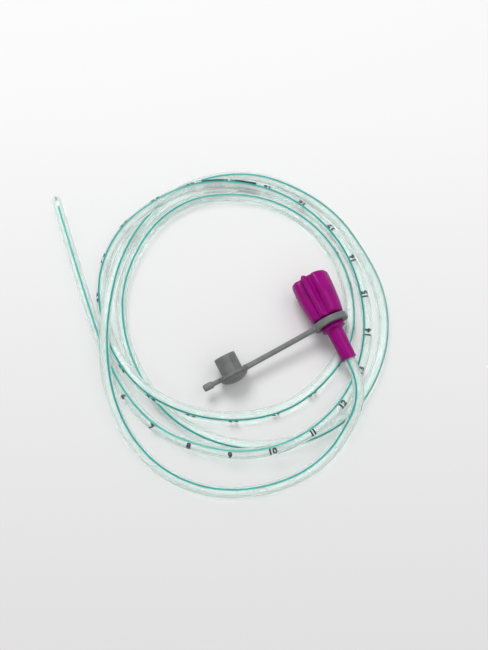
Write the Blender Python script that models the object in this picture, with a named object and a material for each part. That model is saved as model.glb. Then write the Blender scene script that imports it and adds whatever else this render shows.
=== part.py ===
"""Feeding tube: lobed connector, tethered cap and one length of marked clear tube, lying loosely coiled."""

import math

import bmesh
import bpy
import numpy as np
from mathutils import Matrix, Vector

MM = 0.001

# Connector, along its own axis from the mouth to the tube end
COLLAR_LENGTH = 11.1 * MM
COLLAR_MOUTH_RADIUS = 4.55 * MM
COLLAR_BELLY_RADIUS = 4.95 * MM
COLLAR_BELLY_AT = 4.2 * MM
COLLAR_SHOULDER_RADIUS = 4.2 * MM
COLLAR_SHOULDER_AT = COLLAR_LENGTH - 1.2 * MM
COLLAR_END_RADIUS = 3.5 * MM
COLLAR_EDGE_ROUND = 0.45 * MM
LOBE_COUNT = 8
LOBE_DEPTH = 0.62 * MM
COLLAR_BORE_RADIUS = 3.2 * MM
COLLAR_BORE_DEPTH = COLLAR_LENGTH - 2.7 * MM
SPIGOT_RADIUS = 2.1 * MM
SPIGOT_TIP_RADIUS = 1.95 * MM
SPIGOT_RECESS = 1.3 * MM
LUMEN_RADIUS = 0.85 * MM
SPIGOT_LUMEN_RADIUS = 1.3 * MM
NECK_RADIUS = 2.6 * MM
RING_WIDTH = 1.55 * MM
RING_PLAY = 0.425 * MM
RING_FROM_MOUTH = COLLAR_LENGTH + RING_PLAY + RING_WIDTH / 2
FLARE_START = COLLAR_LENGTH + RING_WIDTH + 2 * RING_PLAY
FLARE_RADIUS = 3.0 * MM
FLARE_THICKNESS = 0.9 * MM
STEM_LENGTH = 8.0 * MM
STEM_END = FLARE_START + FLARE_THICKNESS + STEM_LENGTH
STEM_START_RADIUS = 1.95 * MM
STEM_END_RADIUS = 1.8 * MM
SOCKET_DEPTH = 6.0 * MM
ROOT_OVERLAP = 1.2 * MM
CUT_OVERRUN = 1.0 * MM
AXIS_HEIGHT = COLLAR_BELLY_RADIUS
MOUTH_AT = Vector((7.585 * MM, 13.179 * MM, AXIS_HEIGHT))
AXIS_HEADING = math.radians(-65.7)

# Tube
TUBE_DIAMETER = 2.6 * MM
TUBE_FIT = 0.15 * MM
TUBE_POINTS = 80
EXIT_RUN = 0.2 * MM
BEND_CARE = 20.0 * MM

# Cap on its tether
PIECE_GAP = 0.3 * MM
RING_WALL = 1.45 * MM
STRAP_WIDTH = 1.2 * MM
STRAP_DEPTH = 1.3 * MM
DISC_RADIUS = 3.9 * MM
DISC_THICKNESS = 0.9 * MM
DOME_HEIGHT = 0.55 * MM
DRUM_RADIUS = 2.7 * MM
DRUM_LENGTH = 4.9 * MM
DRUM_BORE_RADIUS = 2.2 * MM
DRUM_BORE_DEPTH = 4.3 * MM
DRUM_CHAMFER = 0.35 * MM
DRUM_GROOVE_TURN = math.radians(24.0)
DRUM_GROOVE_HALF = 0.24 * MM
DRUM_GROOVE_STOP = 0.8 * MM
CAP_AT = Vector((-11.115 * MM, -10.721 * MM, DISC_RADIUS))
CAP_HEADING = math.radians(117.6)
TAB_NECK_LENGTH = 1.6 * MM
TAB_NECK_RADIUS = 0.5 * MM
TAB_LENGTH = 2.5 * MM
TAB_RADIUS = 0.85 * MM

AROUND = 96

# The tube's own route, in millimetres, read by eye from the photograph: x, y, height of the middle
ROUTE_MM = (
    (18.4, -11.1, 4.95), (18.9, -15.6, 4.73), (18.0, -20.0, 3.85), (15.6, -24.3, 2.22),
    (12.2, -29.2, 1.43), (4.9, -34.7, 1.33), (-5.9, -38.1, 1.32), (-17.4, -37.9, 1.32),
    (-27.9, -33.5, 1.33), (-36.0, -25.4, 1.70), (-40.7, -15.0, 3.17), (-42.4, -3.6, 4.85),
    (-42.3, 7.9, 3.85), (-40.4, 19.2, 2.10), (-35.5, 29.6, 1.32), (-27.4, 37.9, 1.32),
    (-16.8, 42.8, 1.32), (-5.1, 43.1, 1.32), (5.7, 38.7, 1.32), (14.9, 31.5, 1.32),
    (21.2, 21.8, 1.32), (25.6, 11.1, 1.32), (26.1, -0.5, 1.32), (22.5, -11.6, 1.32),
    (15.5, -20.7, 1.32), (5.4, -26.0, 1.32), (-5.9, -27.6, 1.32), (-17.0, -25.4, 1.33),
    (-26.7, -19.8, 1.32), (-33.6, -11.0, 1.32), (-38.2, -0.7, 1.32), (-39.5, 10.2, 1.32),
    (-36.7, 20.9, 1.32), (-30.9, 30.2, 1.32), (-22.0, 36.3, 1.32), (-11.2, 37.6, 1.32),
    (-0.5, 35.2, 1.32), (8.8, 28.9, 1.32), (15.2, 19.8, 1.32), (18.0, 9.2, 1.32),
    (17.0, -1.8, 1.32), (10.9, -11.2, 1.33), (1.9, -18.0, 1.33), (-9.3, -20.7, 1.52),
    (-20.8, -19.7, 2.94), (-31.2, -15.1, 4.36), (-38.8, -6.7, 2.74), (-43.4, 3.7, 1.41),
    (-44.4, 15.3, 2.05), (-40.1, 25.9, 3.72), (-31.7, 33.8, 4.25), (-21.3, 39.3, 3.59),
    (-9.8, 40.5, 2.18), (1.3, 37.8, 1.46), (10.6, 31.4, 1.32), (17.6, 22.5, 1.33),
    (21.5, 11.6, 1.33), (22.1, 0.1, 1.34), (19.1, -11.0, 1.73), (12.7, -20.3, 3.56),
    (3.4, -27.0, 4.29), (-7.7, -29.7, 3.39), (-18.7, -28.1, 2.20), (-29.1, -23.6, 1.39),
    (-37.1, -15.5, 1.32), (-42.7, -5.5, 1.32), (-46.9, 5.2, 1.32), (-50.8, 16.0, 1.32),
    (-54.6, 26.8, 1.32), (-58.3, 37.6, 1.32),
)


def clear_scene():
    for obj in list(bpy.data.objects):
        bpy.data.objects.remove(obj, do_unlink=True)


def new_collection(name, hidden=False):
    made = bpy.data.collections.new(name)
    made.hide_render = hidden
    bpy.context.scene.collection.children.link(made)
    return made


def material(name, colour, roughness, alpha=1.0):
    made = bpy.data.materials.new(name)
    made.use_nodes = True
    shader = made.node_tree.nodes["Principled BSDF"]
    shader.inputs["Base Color"].default_value = (*colour, 1.0)
    shader.inputs["Roughness"].default_value = roughness
    shader.inputs["Alpha"].default_value = alpha
    return made


def object_from(name, bm, collection):
    bmesh.ops.recalc_face_normals(bm, faces=bm.faces)
    mesh = bpy.data.meshes.new(name)
    bm.to_mesh(mesh)
    bm.free()
    made = bpy.data.objects.new(name, mesh)
    collection.objects.link(made)
    return made


def revolved(profile, radius_at=None, closed=False, around=AROUND):
    """A closed solid turned round Z from (radius, height) pairs; radius_at may shape the section."""
    bm = bmesh.new()
    rows = []
    for radius, height in profile:
        if radius < 1e-7:
            rows.append([bm.verts.new((0.0, 0.0, height))])
            continue
        row = []
        for step in range(around):
            angle = 2 * math.pi * step / around
            r = radius_at(radius, height, angle) if radius_at else radius
            row.append(bm.verts.new((r * math.cos(angle), r * math.sin(angle), height)))
        rows.append(row)
    pairs = list(zip(rows, rows[1:]))
    if closed:
        pairs.append((rows[-1], rows[0]))
    for lower, upper in pairs:
        for step in range(around):
            after = (step + 1) % around
            if len(lower) == 1:
                bm.faces.new((lower[0], upper[step], upper[after]))
            elif len(upper) == 1:
                bm.faces.new((lower[step], upper[0], lower[after]))
            else:
                bm.faces.new((lower[step], upper[step], upper[after], lower[after]))
    return bm


def lofted(sections, heading, around=24, squareness=2.6):
    """A closed solid through rounded sections (centre, half width, half height) across a heading."""
    bm = bmesh.new()
    side = Vector((-math.sin(heading), math.cos(heading), 0.0))
    up = Vector((0.0, 0.0, 1.0))
    rows = []
    for centre, half_width, half_height in sections:
        row = []
        for step in range(around):
            angle = 2 * math.pi * step / around
            c, s = math.cos(angle), math.sin(angle)
            reach = (abs(c) ** squareness + abs(s) ** squareness) ** (-1.0 / squareness)
            row.append(bm.verts.new(centre + side * (half_width * c * reach) + up * (half_height * s * reach)))
        rows.append(row)
    for lower, upper in zip(rows, rows[1:]):
        for step in range(around):
            after = (step + 1) % around
            bm.faces.new((lower[step], upper[step], upper[after], lower[after]))
    bm.faces.new(rows[0])
    bm.faces.new(rows[-1])
    return bm


def axis_frame(at, heading):
    """Local Z along a level heading, local X straight up."""
    along = Vector((math.cos(heading), math.sin(heading), 0.0))
    up = Vector((0.0, 0.0, 1.0))
    side = along.cross(up)
    frame = Matrix((up, side, along)).transposed().to_4x4()
    frame.translation = at
    return frame


def combine(target, others, operation):
    for other in others:
        step = target.modifiers.new(operation.lower(), "BOOLEAN")
        step.operation = operation
        step.solver = "EXACT"
        step.object = other


def applied(target):
    """The same object with its modifiers made into its mesh."""
    bpy.context.view_layer.update()
    graph = bpy.context.evaluated_depsgraph_get()
    mesh = bpy.data.meshes.new_from_object(target.evaluated_get(graph))
    target.modifiers.clear()
    target.data = mesh
    return target


def smooth(target, angle_deg=35.0):
    target.data.polygons.foreach_set("use_smooth", [True] * len(target.data.polygons))
    target.data.set_sharp_from_angle(angle=math.radians(angle_deg))


def collar_radius(height):
    """Outer radius of the collar before the lobes are taken off."""
    stations = (0.0, COLLAR_BELLY_AT, COLLAR_SHOULDER_AT, COLLAR_LENGTH)
    radii = (COLLAR_MOUTH_RADIUS, COLLAR_BELLY_RADIUS, COLLAR_SHOULDER_RADIUS, COLLAR_END_RADIUS)
    for index in range(3):
        if height <= stations[index + 1] + 1e-9:
            break
    t = (height - stations[index]) / (stations[index + 1] - stations[index])
    ease = math.sin(t * math.pi / 2) if index == 0 else 1 - math.cos(t * math.pi / 2)
    return radii[index] + (radii[index + 1] - radii[index]) * ease


def lobed(radius, height, angle):
    inside = min(1.0, radius / (0.8 * COLLAR_MOUTH_RADIUS))
    fade = 1.0 - 0.55 * max(0.0, (height - COLLAR_BELLY_AT) / (COLLAR_LENGTH - COLLAR_BELLY_AT)) ** 2
    valley = 1.0 - abs(math.cos(LOBE_COUNT * angle / 2)) ** 0.9
    return radius - LOBE_DEPTH * fade * inside * valley


def make_connector(pieces, cutters, frame):
    profile = [(0.0, 0.0), (COLLAR_MOUTH_RADIUS - COLLAR_EDGE_ROUND - 0.9 * MM, 0.0),
               (COLLAR_MOUTH_RADIUS - COLLAR_EDGE_ROUND, 0.0)]
    for step in range(1, 4):
        turn = step * math.pi / 8
        profile.append((COLLAR_MOUTH_RADIUS - COLLAR_EDGE_ROUND * (1 - math.sin(turn)),
                        COLLAR_EDGE_ROUND * (1 - math.cos(turn))))
    count = 22
    for step in range(count + 1):
        height = COLLAR_EDGE_ROUND + (COLLAR_LENGTH - COLLAR_EDGE_ROUND) * step / count
        profile.append((collar_radius(height), height))
    profile.append((0.0, COLLAR_LENGTH))
    connector = object_from("connector", revolved(profile, lobed), pieces)
    neck_and_stem = object_from("neck_and_stem", revolved([
        (0.0, COLLAR_LENGTH - ROOT_OVERLAP),
        (NECK_RADIUS, COLLAR_LENGTH - ROOT_OVERLAP),
        (NECK_RADIUS, FLARE_START),
        (FLARE_RADIUS - 0.15 * MM, FLARE_START),
        (FLARE_RADIUS, FLARE_START + 0.2 * MM),
        (FLARE_RADIUS, FLARE_START + FLARE_THICKNESS - 0.25 * MM),
        (FLARE_RADIUS - 0.25 * MM, FLARE_START + FLARE_THICKNESS),
        (STEM_START_RADIUS + 0.25 * MM, FLARE_START + FLARE_THICKNESS),
        (STEM_START_RADIUS, FLARE_START + FLARE_THICKNESS + 0.3 * MM),
        (STEM_END_RADIUS, STEM_END - 0.15 * MM),
        (STEM_END_RADIUS - 0.12 * MM, STEM_END),
        (0.0, STEM_END),
    ]), cutters)
    annulus = object_from("bore_round_spigot", revolved([
        (0.0, -CUT_OVERRUN),
        (COLLAR_BORE_RADIUS + 0.3 * MM, -CUT_OVERRUN),
        (COLLAR_BORE_RADIUS + 0.3 * MM, 0.1 * MM),
        (COLLAR_BORE_RADIUS, 0.5 * MM),
        (COLLAR_BORE_RADIUS, COLLAR_BORE_DEPTH),
        (SPIGOT_RADIUS, COLLAR_BORE_DEPTH),
        (SPIGOT_TIP_RADIUS, SPIGOT_RECESS + 0.15 * MM),
        (SPIGOT_TIP_RADIUS - 0.15 * MM, SPIGOT_RECESS),
        (0.0, SPIGOT_RECESS),
    ], around=64), cutters)
    socket_floor = STEM_END - SOCKET_DEPTH
    lumen = object_from("lumen_and_socket", revolved([
        (0.0, SPIGOT_RECESS - 0.5 * MM),
        (SPIGOT_LUMEN_RADIUS, SPIGOT_RECESS - 0.5 * MM),
        (SPIGOT_LUMEN_RADIUS, COLLAR_BORE_DEPTH),
        (LUMEN_RADIUS, COLLAR_BORE_DEPTH + 1.5 * MM),
        (LUMEN_RADIUS, socket_floor),
        (TUBE_DIAMETER / 2 + TUBE_FIT, socket_floor),
        (TUBE_DIAMETER / 2 + TUBE_FIT, STEM_END + CUT_OVERRUN),
        (0.0, STEM_END + CUT_OVERRUN),
    ], around=48), cutters)
    combine(connector, [neck_and_stem], "UNION")
    combine(connector, [annulus, lumen], "DIFFERENCE")
    applied(connector)
    connector.matrix_world = frame
    connector.data.materials.append(material("connector_plastic", (0.30, 0.0, 0.22), 0.25))
    smooth(connector)
    return connector


def make_cap(pieces, cutters, frame):
    along = Vector((math.cos(AXIS_HEADING), math.sin(AXIS_HEADING), 0.0))
    ring_centre = MOUTH_AT + along * RING_FROM_MOUTH
    hole = NECK_RADIUS + PIECE_GAP
    rim = hole + RING_WALL
    half = RING_WIDTH / 2
    edge = 0.25 * MM
    ring = object_from("tethered_cap", revolved([
        (hole, -half + 0.1 * MM), (hole + 0.1 * MM, -half), (rim - edge, -half), (rim, -half + edge),
        (rim, half - edge), (rim - edge, half), (hole + 0.1 * MM, half), (hole, half - 0.1 * MM),
    ], closed=True), pieces)
    ring_frame = frame.copy()
    ring_frame.translation = ring_centre
    ring.data.transform(ring_frame)

    cap_frame = axis_frame(CAP_AT, CAP_HEADING)
    across = Vector((math.sin(CAP_HEADING), -math.cos(CAP_HEADING), 0.0))
    back = -DISC_THICKNESS / 2
    front = DISC_THICKNESS / 2
    dome = [(0.0, back - DOME_HEIGHT)]
    for step in range(1, 6):
        t = step / 6
        dome.append(((DISC_RADIUS - 0.5 * MM) * t, back - DOME_HEIGHT * (1 - t * t)))
    cap = object_from("disc_and_drum", revolved(dome + [
        (DISC_RADIUS - 0.45 * MM, back), (DISC_RADIUS, back + 0.3 * MM), (DISC_RADIUS, front - 0.2 * MM),
        (DISC_RADIUS - 0.2 * MM, front), (DRUM_RADIUS + 0.2 * MM, front), (DRUM_RADIUS, front + 0.2 * MM),
        (DRUM_RADIUS, DRUM_LENGTH - DRUM_CHAMFER), (DRUM_RADIUS - DRUM_CHAMFER, DRUM_LENGTH),
        (DRUM_BORE_RADIUS, DRUM_LENGTH), (DRUM_BORE_RADIUS, DRUM_LENGTH - DRUM_BORE_DEPTH),
        (0.0, DRUM_LENGTH - DRUM_BORE_DEPTH),
    ], around=72), cutters)
    cap.data.transform(cap_frame)

    side = Vector((math.sin(AXIS_HEADING), -math.cos(AXIS_HEADING), 0.0))
    start = ring_centre + side * (rim - 0.75 * MM)
    end = CAP_AT + across * (DISC_RADIUS - 0.9 * MM)
    run = end - start
    heading = math.atan2(run.y, run.x)
    widths = ((0.0, 0.72, 0.75), (0.06, 0.72, 0.8), (0.13, 0.55, 0.55), (0.35, 0.5, 0.5), (0.6, 0.5, 0.5),
              (0.88, 0.5, 0.5), (1.0, 0.5, 0.5))
    sections = []
    for t, w, h in widths:
        sag = 4 * t * (1 - t) * 0.25 * MM
        point = start + run * t - Vector((0.0, 0.0, sag))
        sections.append((point, w * STRAP_WIDTH, h * STRAP_DEPTH))
    strap = object_from("strap", lofted(sections, heading), cutters)

    tab_start = CAP_AT - across * (DISC_RADIUS - 0.7 * MM)
    tab_heading = math.atan2(-across.y, -across.x)
    lengths = (0.0, 0.7 * MM + 0.75 * TAB_NECK_LENGTH, 0.7 * MM + TAB_NECK_LENGTH)
    tab_rows = [(tab_start, TAB_NECK_RADIUS, TAB_NECK_RADIUS),
                (tab_start - across * lengths[1], TAB_NECK_RADIUS * 0.95, TAB_NECK_RADIUS)]
    for step in range(0, 9):
        t = step / 8
        swell = math.sqrt(max(0.0, 1 - (2 * t - 1) ** 4)) if 0 < step < 8 else 0.45
        tab_rows.append((tab_start - across * (lengths[2] + TAB_LENGTH * t), TAB_RADIUS * swell,
                         TAB_RADIUS * swell))
    tab = object_from("pull_tab", lofted(tab_rows, tab_heading, squareness=2.2), cutters)
    outward = Vector((0.0, 0.0, math.cos(DRUM_GROOVE_TURN))) + across * math.sin(DRUM_GROOVE_TURN)
    cap_along = Vector((math.cos(CAP_HEADING), math.sin(CAP_HEADING), 0.0))
    groove = object_from("drum_groove", lofted([
        (CAP_AT + outward * DRUM_RADIUS + cap_along * reach, DRUM_GROOVE_HALF, DRUM_GROOVE_HALF)
        for reach in (front + DRUM_GROOVE_HALF, DRUM_LENGTH - DRUM_GROOVE_STOP)
    ], CAP_HEADING, around=12), cutters)
    combine(ring, [cap, strap, tab], "UNION")
    combine(ring, [groove], "DIFFERENCE")
    applied(ring)
    ring.data.transform(frame.inverted())
    shift = frame.inverted() @ ring_centre
    ring.data.transform(Matrix.Translation(-shift))
    placed = frame.copy()
    placed.translation = ring_centre
    ring.matrix_world = placed
    ring.data.materials.append(material("cap_plastic", (0.20, 0.21, 0.21), 0.5))
    smooth(ring)
    return ring


def smooth_route(points, per_span=16):
    """Points along one smooth curve through the route's own points."""
    first = 2 * points[0] - points[1]
    last = 2 * points[-1] - points[-2]
    padded = np.vstack([first, points, last])
    found = []
    for index in range(1, len(padded) - 2):
        a, b, c, d = padded[index - 1:index + 3]
        for step in range(per_span):
            t = step / per_span
            found.append(0.5 * (2 * b + (c - a) * t + (2 * a - 5 * b + 4 * c - d) * t ** 2
                                + (3 * b - a - 3 * c + d) * t ** 3))
    found.append(points[-1])
    return np.array(found)


def spread(points, count):
    """Points along the route, closer together where it bends."""
    steps = np.diff(points, axis=0)
    lengths = np.linalg.norm(steps, axis=1)
    turns = np.linalg.norm(np.diff(steps / lengths[:, None], axis=0), axis=1)
    turns = np.concatenate([turns, turns[-1:]])
    reach = np.concatenate([[0.0], np.cumsum(lengths + BEND_CARE * turns)])
    wanted = np.linspace(0.0, reach[-1], count)
    return np.stack([np.interp(wanted, reach, points[:, k]) for k in range(3)], axis=1)


def make_tube(pieces):
    along = np.array((math.cos(AXIS_HEADING), math.sin(AXIS_HEADING), 0.0))
    mouth = np.array(MOUTH_AT)
    inside = mouth + along * (STEM_END - SOCKET_DEPTH + PIECE_GAP)
    exit_point = mouth + along * (STEM_END + EXIT_RUN)
    free = smooth_route(np.vstack([exit_point, np.array(ROUTE_MM) * MM]))
    points = np.vstack([inside, spread(free, TUBE_POINTS - 1)])
    points[:, 2] = np.maximum(points[:, 2], TUBE_DIAMETER / 2 + 0.01 * MM)
    curve = bpy.data.curves.new("tube", "CURVE")
    curve.dimensions = "3D"
    curve.bevel_depth = TUBE_DIAMETER / 2
    curve.bevel_resolution = 2
    curve.use_fill_caps = True
    spline = curve.splines.new("POLY")
    spline.points.add(len(points) - 1)
    for index, (x, y, z) in enumerate(points):
        spline.points[index].co = (x, y, z, 1.0)
    tube = bpy.data.objects.new("tube", curve)
    pieces.objects.link(tube)
    curve.materials.append(material("clear_tube", (0.72, 0.86, 0.82), 0.2, 0.6))
    return tube


clear_scene()
feeding_tube = new_collection("feeding_tube")
helpers = new_collection("cutters", hidden=True)
axis = axis_frame(MOUTH_AT, AXIS_HEADING)
make_connector(feeding_tube, helpers, axis)
make_cap(feeding_tube, helpers, axis)
make_tube(feeding_tube)
for helper in list(helpers.objects):
    helper.display_type = "WIRE"
    helper.hide_render = True
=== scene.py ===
"""Feeding tube: a loose coil of clear printed tube, a magenta connector and a grey cap on its tether."""

from __future__ import annotations

import logging
import math
from dataclasses import dataclass, field
from enum import Enum

import bmesh
import bpy
import numpy as np
from mathutils import Matrix, Vector

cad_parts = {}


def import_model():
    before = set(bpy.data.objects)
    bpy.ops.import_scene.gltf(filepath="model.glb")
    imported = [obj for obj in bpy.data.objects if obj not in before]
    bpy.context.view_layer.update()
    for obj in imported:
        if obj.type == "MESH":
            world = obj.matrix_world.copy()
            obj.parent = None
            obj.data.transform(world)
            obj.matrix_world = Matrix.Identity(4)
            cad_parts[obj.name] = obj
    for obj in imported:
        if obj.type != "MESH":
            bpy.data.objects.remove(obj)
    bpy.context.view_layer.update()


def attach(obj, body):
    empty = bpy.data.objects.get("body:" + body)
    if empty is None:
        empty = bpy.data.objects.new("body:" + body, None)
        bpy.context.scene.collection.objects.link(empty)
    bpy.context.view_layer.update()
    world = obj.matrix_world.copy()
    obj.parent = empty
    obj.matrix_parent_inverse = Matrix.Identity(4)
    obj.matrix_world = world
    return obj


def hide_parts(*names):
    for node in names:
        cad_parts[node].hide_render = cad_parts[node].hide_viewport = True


LOG = logging.getLogger("feeding_tube")
MM = 0.001
UP = Vector((0.0, 0.0, 1.0))

# The tube's own route in millimetres, the same points as in the part's source: x, y, height of the middle
ROUTE_MM = (
    (18.4, -11.1, 4.95), (18.9, -15.6, 4.73), (18.0, -20.0, 3.85), (15.6, -24.3, 2.22),
    (12.2, -29.2, 1.43), (4.9, -34.7, 1.33), (-5.9, -38.1, 1.32), (-17.4, -37.9, 1.32),
    (-27.9, -33.5, 1.33), (-36.0, -25.4, 1.70), (-40.7, -15.0, 3.17), (-42.4, -3.6, 4.85),
    (-42.3, 7.9, 3.85), (-40.4, 19.2, 2.10), (-35.5, 29.6, 1.32), (-27.4, 37.9, 1.32),
    (-16.8, 42.8, 1.32), (-5.1, 43.1, 1.32), (5.7, 38.7, 1.32), (14.9, 31.5, 1.32),
    (21.2, 21.8, 1.32), (25.6, 11.1, 1.32), (26.1, -0.5, 1.32), (22.5, -11.6, 1.32),
    (15.5, -20.7, 1.32), (5.4, -26.0, 1.32), (-5.9, -27.6, 1.32), (-17.0, -25.4, 1.33),
    (-26.7, -19.8, 1.32), (-33.6, -11.0, 1.32), (-38.2, -0.7, 1.32), (-39.5, 10.2, 1.32),
    (-36.7, 20.9, 1.32), (-30.9, 30.2, 1.32), (-22.0, 36.3, 1.32), (-11.2, 37.6, 1.32),
    (-0.5, 35.2, 1.32), (8.8, 28.9, 1.32), (15.2, 19.8, 1.32), (18.0, 9.2, 1.32),
    (17.0, -1.8, 1.32), (10.9, -11.2, 1.33), (1.9, -18.0, 1.33), (-9.3, -20.7, 1.52),
    (-20.8, -19.7, 2.94), (-31.2, -15.1, 4.36), (-38.8, -6.7, 2.74), (-43.4, 3.7, 1.41),
    (-44.4, 15.3, 2.05), (-40.1, 25.9, 3.72), (-31.7, 33.8, 4.25), (-21.3, 39.3, 3.59),
    (-9.8, 40.5, 2.18), (1.3, 37.8, 1.46), (10.6, 31.4, 1.32), (17.6, 22.5, 1.33),
    (21.5, 11.6, 1.33), (22.1, 0.1, 1.34), (19.1, -11.0, 1.73), (12.7, -20.3, 3.56),
    (3.4, -27.0, 4.29), (-7.7, -29.7, 3.39), (-18.7, -28.1, 2.20), (-29.1, -23.6, 1.39),
    (-37.1, -15.5, 1.32), (-42.7, -5.5, 1.32), (-46.9, 5.2, 1.32), (-50.8, 16.0, 1.32),
    (-54.6, 26.8, 1.32), (-58.3, 37.6, 1.32),
)

# Where the teal line sits round the tube: turns of the coil since the tube's start, and degrees from the
# top towards the inside of the coil
LINE_AT = (
    (-0.25, 40.0), (0.0, 27.0), (0.25, 45.0), (0.5, 0.0), (0.75, -52.0), (1.0, -50.0), (1.25, 30.0),
    (1.5, 0.0), (1.75, -45.0), (2.0, -50.0), (2.25, -22.0), (2.5, -6.0), (2.75, 49.0), (3.0, 18.0),
    (3.2, 10.0), (3.4, 10.0),
)
COIL_MIDDLE = (-9.0 * MM, 6.0 * MM)
LINE_EASE = 20
LOWEST_MIDDLE = 1.31 * MM
LEAD_POINTS = 8
SOCKET_GAP = 0.3 * MM
EXIT_RUN = 0.2 * MM


class Body(Enum):
    """The bodies that the pieces ride on."""

    SET = "set"
    TETHER = "tether"


class Ends(Enum):
    """What closes the first and the last ring of a form."""

    OPEN = "open"
    CAPPED = "capped"
    LOOPED = "looped"


class Joining(Enum):
    """How solids are put together."""

    WELD = "UNION"
    CUT = "DIFFERENCE"


class Slot(Enum):
    """The record's material slots."""

    CONNECTOR = "connector_plastic"
    CAP = "cap_plastic"
    TUBE = "clear_tube"


def linear(red: int, green: int, blue: int) -> tuple[float, float, float, float]:
    """Turn a colour as it looks on screen into the shader's own colour.

    Args:
        red: Red from 0 to 255.
        green: Green from 0 to 255.
        blue: Blue from 0 to 255.

    Returns:
        The colour in linear light, with full alpha.
    """
    def one(value: int) -> float:
        """Turn one channel.

        Args:
            value: The channel from 0 to 255.

        Returns:
            The channel in linear light.
        """
        share = value / 255.0
        return share / 12.92 if share <= 0.04045 else ((share + 0.055) / 1.055) ** 2.4

    return one(red), one(green), one(blue), 1.0


class NodeTree:
    """A small helper that lays and links shader nodes."""

    def __init__(self, name: str) -> None:
        """Start a material with its own empty tree.

        Args:
            name: The material's name.
        """
        self.material = bpy.data.materials.new(name)
        self.material.use_nodes = True
        self.tree = self.material.node_tree
        self.shader = self.tree.nodes["Principled BSDF"]
        self.output = self.tree.nodes["Material Output"]

    def node(self, kind: str, **settings: object) -> bpy.types.Node:
        """Add a node.

        Args:
            kind: The node's type.
            **settings: Properties of the node by name.

        Returns:
            The node.
        """
        made = self.tree.nodes.new(kind)
        for key, value in settings.items():
            setattr(made, key, value)
        return made

    def link(self, source: bpy.types.NodeSocket, target: bpy.types.NodeSocket) -> None:
        """Link two sockets."""
        self.tree.links.new(source, target)

    def place(self) -> bpy.types.NodeSocket:
        """Give the piece's own coordinates, in metres."""
        return self.node("ShaderNodeTexCoord").outputs["Object"]

    def noise(self, size: float, detail: float = 2.0, roughness: float = 0.5) -> bpy.types.NodeSocket:
        """Lay a soft noise.

        Args:
            size: The size of its blotches in metres.
            detail: How many finer layers it has.
            roughness: How strong the finer layers are.

        Returns:
            The noise's value socket.
        """
        made = self.node("ShaderNodeTexNoise")
        made.inputs["Scale"].default_value = 1.0 / size
        made.inputs["Detail"].default_value = detail
        made.inputs["Roughness"].default_value = roughness
        self.link(self.place(), made.inputs["Vector"])
        return made.outputs["Fac"]

    def ramp(self, source: bpy.types.NodeSocket,
             stops: list[tuple[float, tuple[float, float, float, float]]]) -> bpy.types.NodeSocket:
        """Map a value to colours.

        Args:
            source: The value.
            stops: Positions and colours, in rising order.

        Returns:
            The colour socket.
        """
        made = self.node("ShaderNodeValToRGB")
        elements = made.color_ramp.elements
        while len(elements) < len(stops):
            elements.new(0.5)
        for element, (position, colour) in zip(elements, stops):
            element.position = position
            element.color = colour
        self.link(source, made.inputs["Fac"])
        return made.outputs["Color"]

    def spread(self, source: bpy.types.NodeSocket, low: float, high: float,
               from_low: float = 0.3, from_high: float = 0.7) -> bpy.types.NodeSocket:
        """Map a value to a range.

        Args:
            source: The value.
            low: The result at from_low.
            high: The result at from_high.
            from_low: The value that gives low.
            from_high: The value that gives high.

        Returns:
            The mapped value's socket.
        """
        made = self.node("ShaderNodeMapRange")
        made.inputs["From Min"].default_value = from_low
        made.inputs["From Max"].default_value = from_high
        made.inputs["To Min"].default_value = low
        made.inputs["To Max"].default_value = high
        self.link(source, made.inputs["Value"])
        return made.outputs["Result"]

    def bump(self, height: bpy.types.NodeSocket, strength: float, distance: float) -> None:
        """Give the shader a bumpy surface.

        Args:
            height: The height socket.
            strength: The bump's strength.
            distance: The height of a full bump, in metres.
        """
        made = self.node("ShaderNodeBump")
        made.inputs["Strength"].default_value = strength
        made.inputs["Distance"].default_value = distance
        self.link(height, made.inputs["Height"])
        self.link(made.outputs["Normal"], self.shader.inputs["Normal"])


@dataclass(frozen=True)
class MouldedPlastic:
    """A moulded plastic with soft colour variation and a faint orange-peel surface."""

    name: str
    dark: tuple[float, float, float, float]
    light: tuple[float, float, float, float]
    roughness_low: float
    roughness_high: float
    blotch: float = 2.4 * MM
    grain: float = 0.22 * MM
    grain_strength: float = 0.08
    grain_height: float = 0.02 * MM
    specular: float = 0.5

    def build(self) -> bpy.types.Material:
        """Make the material.

        Returns:
            The material.
        """
        laid = NodeTree(self.name)
        blotches = laid.noise(self.blotch, 3.0)
        laid.link(laid.ramp(blotches, [(0.32, self.dark), (0.68, self.light)]),
                  laid.shader.inputs["Base Color"])
        fine = laid.noise(self.grain, 2.0)
        laid.link(laid.spread(fine, self.roughness_low, self.roughness_high),
                  laid.shader.inputs["Roughness"])
        laid.bump(fine, self.grain_strength, self.grain_height)
        laid.shader.inputs["Specular IOR Level"].default_value = self.specular
        return laid.material


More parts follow.
